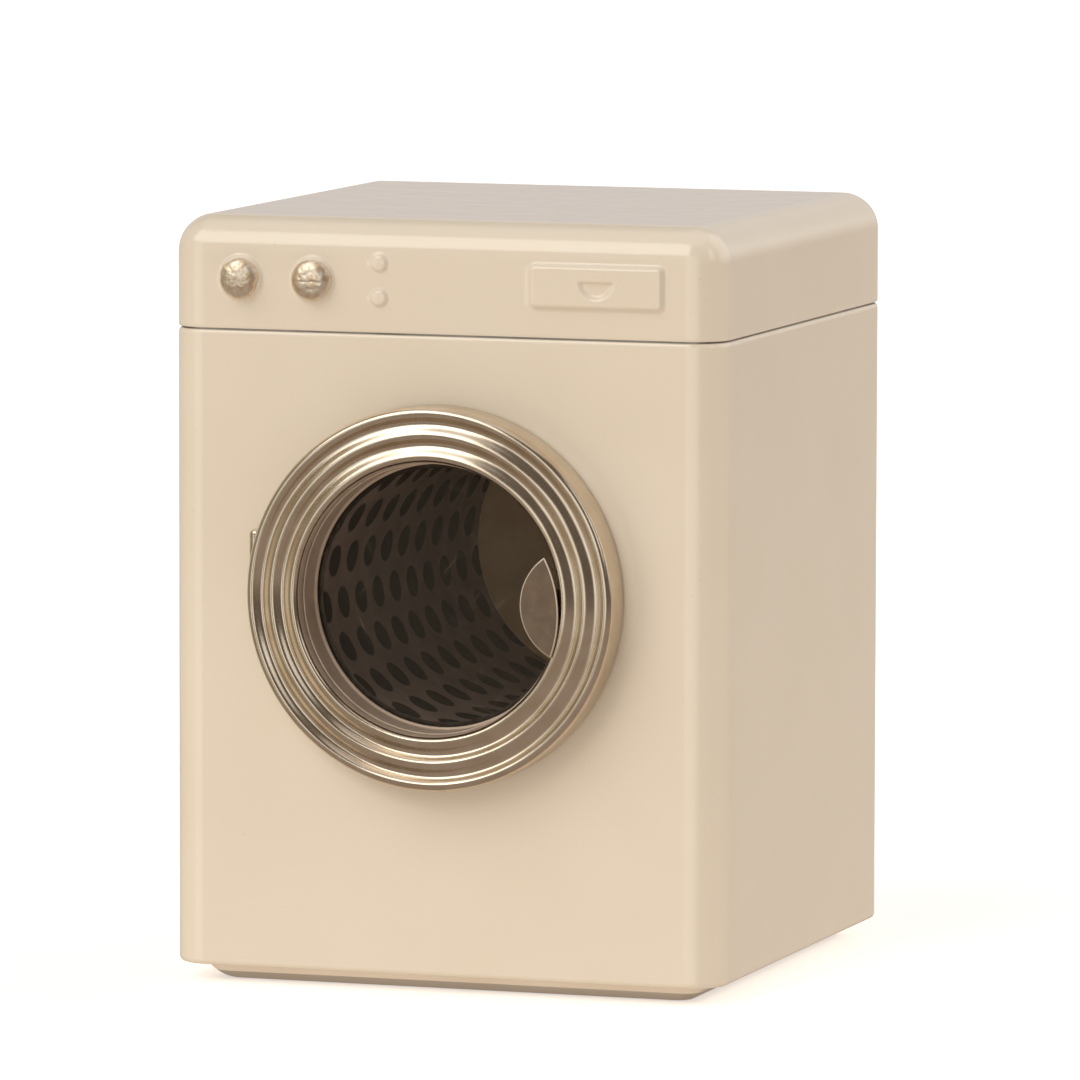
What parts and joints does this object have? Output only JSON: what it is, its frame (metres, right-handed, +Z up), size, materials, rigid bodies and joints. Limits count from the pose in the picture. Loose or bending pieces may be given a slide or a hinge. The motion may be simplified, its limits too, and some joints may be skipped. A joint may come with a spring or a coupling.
{
  "type": "toy washing machine",
  "caption": "Dolls'-house front-loading washing machine of pressed tinplate: hinged round door, turning drum, lift-off lid and two turning knobs.",
  "frame": {"origin": "centre of the flat bottom of the base pan, on the surface the machine stands on", "axes": "+Z up, the door faces -Y, +X to the right of someone facing the door"},
  "size_m": [0.1, 0.107, 0.1337],
  "materials": {
    "cream_enamel": "satin cream enamel baked on tinplate",
    "plinth_enamel": "satin cream enamel, a shade darker",
    "bare_tinplate": "bare tinplate, dull bright",
    "spring_steel": "blued spring steel",
    "champagne_lacquer": "champagne-gold lacquered tinplate, fine satin",
    "brown_gold_lacquer": "matt brown-gold lacquered tinplate with bright cut edges",
    "knob_plating": "pale gold plating, scratched and hammered",
    "brass": "drawn brass",
    "printed_drum_tin": "bronze lithographed tinplate with dark printed dots",
    "drum_back_tin": "bronze lithographed tinplate, plain",
    "clear_window": "clear polyester sheet, lightly scratched",
    "ferrite": "sintered ferrite, dull black"
  },
  "bodies": {
    "cabinet": {"cabinet_wrap": "cream_enamel", "base_pan": "plinth_enamel", "neck_collar": "bare_tinplate", "mouth_collar": "bare_tinplate", "hinge_fixed_leaf": "champagne_lacquer", "hinge_pin": "champagne_lacquer", "drum_bracket": "bare_tinplate", "bearing_bush": "brass"},
    "drum": {"drum_tube": "printed_drum_tin", "drum_back": "drum_back_tin", "drum_hub": "bare_tinplate", "drum_axle": "brass", "axle_push_nut": "spring_steel"},
    "door": {"door_ring": "champagne_lacquer", "window_cup": "champagne_lacquer", "door_back_ring": "bare_tinplate", "door_window": "clear_window", "window_snap_ring": "bare_tinplate", "handle_tab": "brown_gold_lacquer", "hinge_door_leaf": "bare_tinplate", "door_leaf_rivets": "brass", "door_magnet": "ferrite"},
    "lid_body": {"lid": "cream_enamel"},
    "outer_knob_body": {"outer_knob": "knob_plating", "outer_knob_clip": "spring_steel"},
    "inner_knob_body": {"inner_knob": "knob_plating", "inner_knob_clip": "spring_steel"}
  },
  "joints": [
    {"name": "door_hinge", "type": "hinge", "parent": "cabinet", "child": "door", "pos_m": [-0.0331, -0.0511, 0.0693], "axis": [0, 0, -1], "range_deg": [0, 105]},
    {"name": "drum_spin", "type": "hinge", "parent": "cabinet", "child": "drum", "pos_m": [0, 0, 0.0693], "axis": [0, 1, 0], "continuous": true},
    {"name": "lid_lift", "type": "slide", "parent": "cabinet", "child": "lid_body", "axis": [0, 0, 1], "range_m": [0, 0.03]},
    {"name": "outer_knob_turn", "type": "hinge", "parent": "lid_body", "child": "outer_knob_body", "pos_m": [-0.0366, -0.0495, 0.1231], "axis": [0, -1, 0], "continuous": true},
    {"name": "inner_knob_turn", "type": "hinge", "parent": "lid_body", "child": "inner_knob_body", "pos_m": [-0.0234, -0.0495, 0.1231], "axis": [0, -1, 0], "continuous": true}
  ]
}
